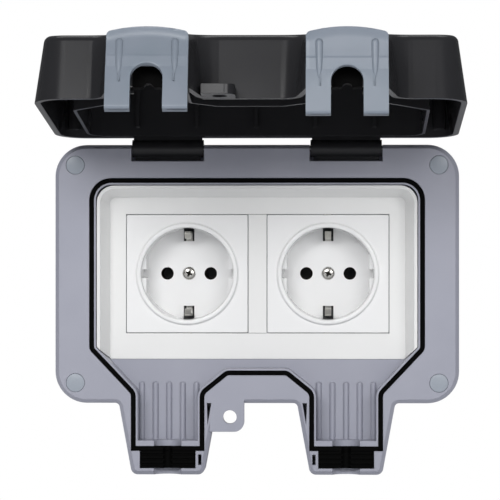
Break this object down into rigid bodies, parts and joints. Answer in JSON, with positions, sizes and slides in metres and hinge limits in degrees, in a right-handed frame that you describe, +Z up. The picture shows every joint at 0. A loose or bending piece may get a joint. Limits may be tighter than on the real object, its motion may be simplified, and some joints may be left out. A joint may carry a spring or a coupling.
{
  "type": "weatherproof double socket",
  "caption": "Wall mounted outdoor double socket with a grey frame, white earthed sockets, two cable funnels and a deep black hinged lid with toggle latches.",
  "frame": {"origin": "on the wall face of the box, straight behind the middle of the two sockets", "axes": "+Z up, +X to the right seen from the front, +Y into the wall"},
  "size_m": [0.172, 0.1949, 0.1809],
  "materials": {
    "grey_box": "moulded, fine texture",
    "grey_frame": "moulded, satin",
    "grey_latch": "moulded, satin",
    "black_lid": "moulded, semi gloss",
    "black_rubber": "moulded rubber",
    "white_bezel": "smooth, glossy",
    "white_cover": "smooth, glossy",
    "insert_plastic": "moulded, matt",
    "plated_brass": "nickel plated",
    "zinc_steel": "zinc plated",
    "screw_steel": "nickel plated",
    "pin_steel": "drawn wire"
  },
  "bodies": {
    "base": {"back_box": "grey_box", "box_gasket": "black_rubber", "front_frame": "grey_frame", "lid_seal": "black_rubber", "gland_left": "black_rubber", "gland_right": "black_rubber", "inner_bezel": "white_bezel", "centre_strip": "white_cover", "strap_left": "zinc_steel", "strap_right": "zinc_steel", "socket_cover_left": "white_cover", "socket_cover_right": "white_cover", "insert_left": "insert_plastic", "insert_right": "insert_plastic", "earth_clip_left": "plated_brass", "earth_clip_right": "plated_brass", "live_contact_left": "plated_brass", "neutral_contact_left": "plated_brass", "live_contact_right": "plated_brass", "neutral_contact_right": "plated_brass", "frame_screws": "screw_steel", "screw_caps": "grey_frame", "cover_screws": "screw_steel", "strap_screws": "screw_steel", "terminal_screws": "screw_steel", "hinge_pin_left": "pin_steel", "hinge_pin_right": "pin_steel"},
    "lid": {"lid_shell": "black_lid", "lid_gland_left": "black_rubber", "lid_gland_right": "black_rubber", "latch_pin_left": "pin_steel", "latch_pin_right": "pin_steel"},
    "latch_left": {"latch_left": "grey_latch"},
    "latch_right": {"latch_right": "grey_latch"}
  },
  "joints": [
    {"name": "lid_hinge", "type": "hinge", "parent": "base", "child": "lid", "pos_m": [0, -0.046, 0.0535], "axis": [1, 0, 0], "range_deg": [0, 96]},
    {"name": "left_latch_pivot", "type": "hinge", "parent": "lid", "child": "latch_left", "pos_m": [-0.038, -0.18355, 0.08224], "axis": [-1, 0, 0], "range_deg": [-21, 14]},
    {"name": "right_latch_pivot", "type": "hinge", "parent": "lid", "child": "latch_right", "pos_m": [0.038, -0.18355, 0.08224], "axis": [-1, 0, 0], "range_deg": [-8, 27]}
  ]
}
